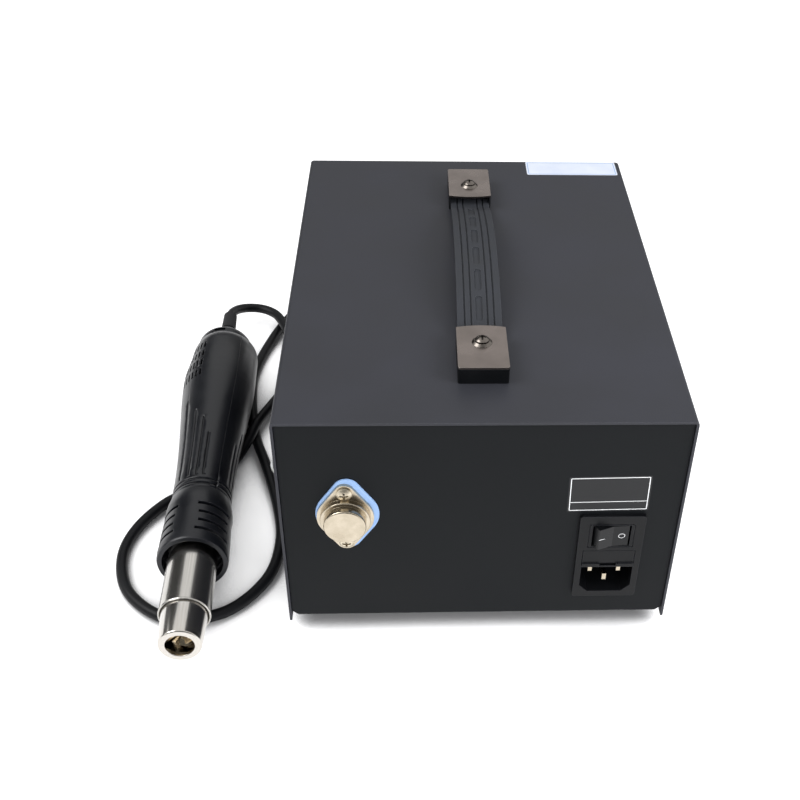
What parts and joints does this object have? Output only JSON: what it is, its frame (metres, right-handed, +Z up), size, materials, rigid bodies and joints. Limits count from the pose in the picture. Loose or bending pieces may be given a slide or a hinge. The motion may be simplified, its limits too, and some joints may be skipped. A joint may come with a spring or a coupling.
{
  "type": "soldering station",
  "caption": "Bench soldering station: folded steel case with strap handle, rear mains inlet and power transistor, and a hot-air gun lying beside it on its cord.",
  "frame": {"origin": "on the bench, in the middle of the space that the station and the gun take up, without the cord", "axes": "+Z up from the bench; +Y from the front panel towards the rear panel, along the depth of the case; +X towards the side where the gun lies"},
  "size_m": [0.2844, 0.3713, 0.1497],
  "materials": {
    "cover_paint": "matt powder coat",
    "chassis_paint": "matt powder coat",
    "foot_rubber": "matt",
    "zinc_screws": "zinc plated",
    "black_screws": "blackened",
    "handle_plastic": "satin",
    "cap_metal": "dark nickel plate",
    "strap_rubber": "matt, ribbed",
    "cap_screws": "nickel plate",
    "heat_pad": "matt silicone sheet",
    "transistor_can": "nickel plate",
    "inlet_plastic": "satin",
    "pin_metal": "nickel plate",
    "rocker_black": "satin",
    "fuse_glass": "clear with metal ends",
    "front_film": "fine texture",
    "display_red": "polished",
    "module_black": "matt",
    "board_green": "solder mask",
    "standoff_brass": "turned",
    "pot_metal": "satin",
    "knob_plastic": "satin",
    "rocker_red": "polished",
    "socket_metal": "nickel plate",
    "insulator_black": "matt",
    "post_brass": "turned",
    "post_red": "satin",
    "post_black": "satin",
    "relief_rubber": "matt",
    "capacitor_sleeve": "film",
    "sink_aluminium": "extruded",
    "core_steel": "varnished sheet",
    "winding_copper": "varnished wire under tape",
    "frame_steel": "zinc plated",
    "gun_plastic": "satin, fine texture",
    "collar_plastic": "satin",
    "barrel_steel": "satin stainless",
    "heater_ceramic": "ceramic and mica",
    "nozzle_steel": "polished stainless",
    "vane_metal": "heat tinted",
    "fan_plastic": "satin",
    "cord_rubber": "matt"
  },
  "bodies": {
    "case": {"cover": "cover_paint", "chassis": "chassis_paint", "feet": "foot_rubber", "foot_screws": "zinc_screws", "cover_screws": "black_screws", "holder_screws": "zinc_screws", "handle_bases": "handle_plastic", "handle_caps": "cap_metal", "handle_strap": "strap_rubber", "handle_screws": "cap_screws", "transistor_pad": "heat_pad", "power_transistor": "transistor_can", "transistor_screws": "zinc_screws", "inlet_housing": "inlet_plastic", "inlet_pins": "pin_metal", "front_overlay": "front_film", "display_windows": "display_red", "display_modules": "module_black", "front_board": "board_green", "front_standoffs": "standoff_brass", "potentiometers": "pot_metal", "switch_frames": "inlet_plastic", "iron_socket": "socket_metal", "iron_socket_insert": "insulator_black", "post_studs": "post_brass", "post_collars": "insulator_black", "gun_gland": "relief_rubber", "main_board": "board_green", "board_standoffs": "standoff_brass", "capacitors": "capacitor_sleeve", "heat_sink": "sink_aluminium", "transformer_core": "core_steel", "transformer_winding": "winding_copper", "transformer_frame": "frame_steel", "gun_cord": "cord_rubber"},
    "gun": {"gun_shell_left": "gun_plastic", "gun_shell_right": "gun_plastic", "gun_collar": "collar_plastic", "gun_end_cap": "collar_plastic", "gun_relief": "relief_rubber", "gun_screws": "black_screws", "gun_barrel": "barrel_steel", "gun_heater": "heater_ceramic", "fan_motor": "fan_plastic"},
    "nozzle": {"gun_nozzle": "nozzle_steel", "nozzle_vanes": "vane_metal"},
    "fan": {"fan_rotor": "fan_plastic"},
    "drawer": {"fuse_drawer": "inlet_plastic", "fuse": "fuse_glass"},
    "power_switch": {"power_rocker": "rocker_black"},
    "air_flow_knob": {"knob_air_flow": "knob_plastic"},
    "air_heat_knob": {"knob_air_heat": "knob_plastic"},
    "iron_heat_knob": {"knob_iron_heat": "knob_plastic"},
    "volts_knob": {"knob_volts": "knob_plastic"},
    "amps_knob": {"knob_amps": "knob_plastic"},
    "air_switch": {"rocker_air": "rocker_red"},
    "iron_switch": {"rocker_iron": "rocker_red"},
    "supply_switch": {"rocker_supply": "rocker_red"},
    "red_cap": {"post_cap_red": "post_red"},
    "black_cap": {"post_cap_black": "post_black"}
  },
  "joints": [
    {"name": "power_switch_turn", "type": "hinge", "parent": "case", "child": "power_switch", "pos_m": [-0.0995, 0.11595, 0.0661], "axis": [0, 0, 1], "range_deg": [-24, 0]},
    {"name": "air_flow_knob_turn", "type": "hinge", "parent": "case", "child": "air_flow_knob", "pos_m": [0.00779, -0.13805, 0.083], "axis": [0, 1, 0], "range_deg": [-150, 150]},
    {"name": "air_heat_knob_turn", "type": "hinge", "parent": "case", "child": "air_heat_knob", "pos_m": [0.0358, -0.13805, 0.083], "axis": [0, 1, 0], "range_deg": [-150, 150]},
    {"name": "iron_heat_knob_turn", "type": "hinge", "parent": "case", "child": "iron_heat_knob", "pos_m": [-0.03821, -0.13805, 0.083], "axis": [0, 1, 0], "range_deg": [-150, 150]},
    {"name": "volts_knob_turn", "type": "hinge", "parent": "case", "child": "volts_knob", "pos_m": [-0.08421, -0.13805, 0.083], "axis": [0, 1, 0], "range_deg": [-150, 150]},
    {"name": "amps_knob_turn", "type": "hinge", "parent": "case", "child": "amps_knob", "pos_m": [-0.1122, -0.13805, 0.083], "axis": [0, 1, 0], "range_deg": [-150, 150]},
    {"name": "air_switch_turn", "type": "hinge", "parent": "case", "child": "air_switch", "pos_m": [0.02179, -0.12905, 0.056], "axis": [0, 0, 1], "range_deg": [-24, 0]},
    {"name": "iron_switch_turn", "type": "hinge", "parent": "case", "child": "iron_switch", "pos_m": [-0.03821, -0.12905, 0.056], "axis": [0, 0, 1], "range_deg": [-24, 0]},
    {"name": "supply_switch_turn", "type": "hinge", "parent": "case", "child": "supply_switch", "pos_m": [-0.09821, -0.12905, 0.056], "axis": [0, 0, 1], "range_deg": [-24, 0]},
    {"name": "red_cap_turn", "type": "hinge", "parent": "case", "child": "red_cap", "pos_m": [-0.1077, -0.14205, 0.031], "axis": [0, 1, 0], "range_deg": [-180, 180]},
    {"name": "black_cap_turn", "type": "hinge", "parent": "case", "child": "black_cap", "pos_m": [-0.08871, -0.14205, 0.031], "axis": [0, 1, 0], "range_deg": [-180, 180]},
    {"name": "drawer_pull", "type": "slide", "parent": "case", "child": "drawer", "axis": [0, 1, 0], "range_m": [0, 0.016]},
    {"name": "gun_lift", "type": "slide", "parent": "case", "child": "gun", "axis": [0, 0, 1], "range_m": [0, 0.05]},
    {"name": "nozzle_pull", "type": "slide", "parent": "gun", "child": "nozzle", "axis": [-0.0488, 0.9982, 0.034], "range_m": [0, 0.02]},
    {"name": "fan_spin", "type": "hinge", "parent": "gun", "child": "fan", "pos_m": [0.11199, -0.06237, 0.02142], "axis": [-0.0488, 0.9982, 0.034], "continuous": true}
  ]
}
